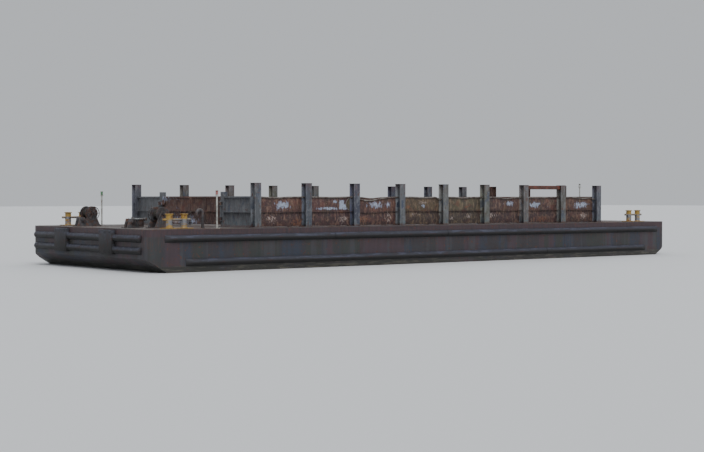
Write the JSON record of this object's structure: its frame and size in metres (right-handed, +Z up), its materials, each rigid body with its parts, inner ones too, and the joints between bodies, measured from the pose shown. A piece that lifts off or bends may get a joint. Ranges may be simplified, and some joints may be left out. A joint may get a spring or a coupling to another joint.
{
  "type": "deck cargo barge",
  "caption": "Flat-deck river barge with raked ends, pipe rub rails, ribbed cargo fence panels, bow gates, bitts, hand winches and raised hatches.",
  "frame": {"origin": "on the flat bottom, midway between the ends and the sides", "axes": "+X to the bow, +Y to port, +Z up"},
  "size_m": [29.6336, 10.0236, 4.5053],
  "materials": {
    "hull_paint": "matte, worn",
    "deck_steel": "matte, rusted",
    "rail_steel": "satin, worn",
    "post_paint": "satin, worn",
    "panel_rust": "matte, rusted, peeling",
    "beam_red": "matte, rusted",
    "gear_black": "satin, worn",
    "bitt_yellow": "satin, worn",
    "lamp_white": "satin"
  },
  "bodies": {
    "barge": {"bow_bitts_port": "bitt_yellow", "bow_bitts_stbd": "bitt_yellow", "bow_fender": "rail_steel", "bow_hatch_coaming": "gear_black", "bow_vent": "gear_black", "deck_plate": "deck_steel", "fence_panel_port_1": "panel_rust", "fence_panel_port_2": "panel_rust", "fence_panel_port_3": "panel_rust", "fence_panel_port_4": "panel_rust", "fence_panel_port_5": "panel_rust", "fence_panel_port_6": "panel_rust", "fence_panel_port_7": "panel_rust", "fence_panel_port_8": "panel_rust", "fence_panel_stbd_1": "panel_rust", "fence_panel_stbd_2": "panel_rust", "fence_panel_stbd_3": "panel_rust", "fence_panel_stbd_4": "panel_rust", "fence_panel_stbd_5": "panel_rust", "fence_panel_stbd_6": "panel_rust", "fence_panel_stbd_7": "panel_rust", "fence_panel_stbd_8": "panel_rust", "fence_posts_port": "post_paint", "fence_posts_stbd": "post_paint", "gate_wing_port": "post_paint", "gate_wing_stbd": "post_paint", "hull": "hull_paint", "lower_rub_rail_port": "rail_steel", "lower_rub_rail_stbd": "rail_steel", "side_lamp_port": "lamp_white", "side_lamp_stbd": "lamp_white", "skeg_port": "hull_paint", "skeg_stbd": "hull_paint", "stern_bitts_port": "bitt_yellow", "stern_bitts_stbd": "bitt_yellow", "stern_fender": "rail_steel", "stern_hatch_coaming": "gear_black", "stern_lamp": "lamp_white", "stern_vent": "gear_black", "stern_wall": "panel_rust", "tie_beam": "beam_red", "tow_pad_port": "gear_black", "tow_pad_stbd": "gear_black", "upper_rub_rail_port": "rail_steel", "upper_rub_rail_stbd": "rail_steel", "winch_frame_port": "gear_black", "winch_frame_stbd": "gear_black"},
    "gate_port": {"gate_port": "panel_rust"},
    "gate_stbd": {"gate_stbd": "panel_rust"},
    "winch_drum_port": {"winch_drum_port": "gear_black"},
    "winch_drum_stbd": {"winch_drum_stbd": "gear_black"},
    "bow_hatch_lid": {"bow_hatch_lid": "gear_black"},
    "stern_hatch_lid": {"stern_hatch_lid": "gear_black"}
  },
  "joints": [
    {"name": "gate_port_hinge", "type": "hinge", "parent": "barge", "child": "gate_port", "pos_m": [9.935, 2.4, 3.2], "axis": [0, 0, 1], "range_deg": [0, 170]},
    {"name": "gate_stbd_hinge", "type": "hinge", "parent": "barge", "child": "gate_stbd", "pos_m": [9.935, -2.4, 3.2], "axis": [0, 0, -1], "range_deg": [0, 170]},
    {"name": "winch_port_spin", "type": "hinge", "parent": "barge", "child": "winch_drum_port", "pos_m": [13, 2.9, 3.1203], "axis": [0, 1, 0], "continuous": true},
    {"name": "winch_stbd_spin", "type": "hinge", "parent": "barge", "child": "winch_drum_stbd", "pos_m": [13, -2.9, 3.1203], "axis": [0, 1, 0], "continuous": true},
    {"name": "bow_hatch_hinge", "type": "hinge", "parent": "barge", "child": "bow_hatch_lid", "pos_m": [11.988, 0, 2.9203], "axis": [0, -1, 0], "range_deg": [0, 100]},
    {"name": "stern_hatch_hinge", "type": "hinge", "parent": "barge", "child": "stern_hatch_lid", "pos_m": [-12.812, 0, 2.9203], "axis": [0, -1, 0], "range_deg": [0, 100]}
  ]
}
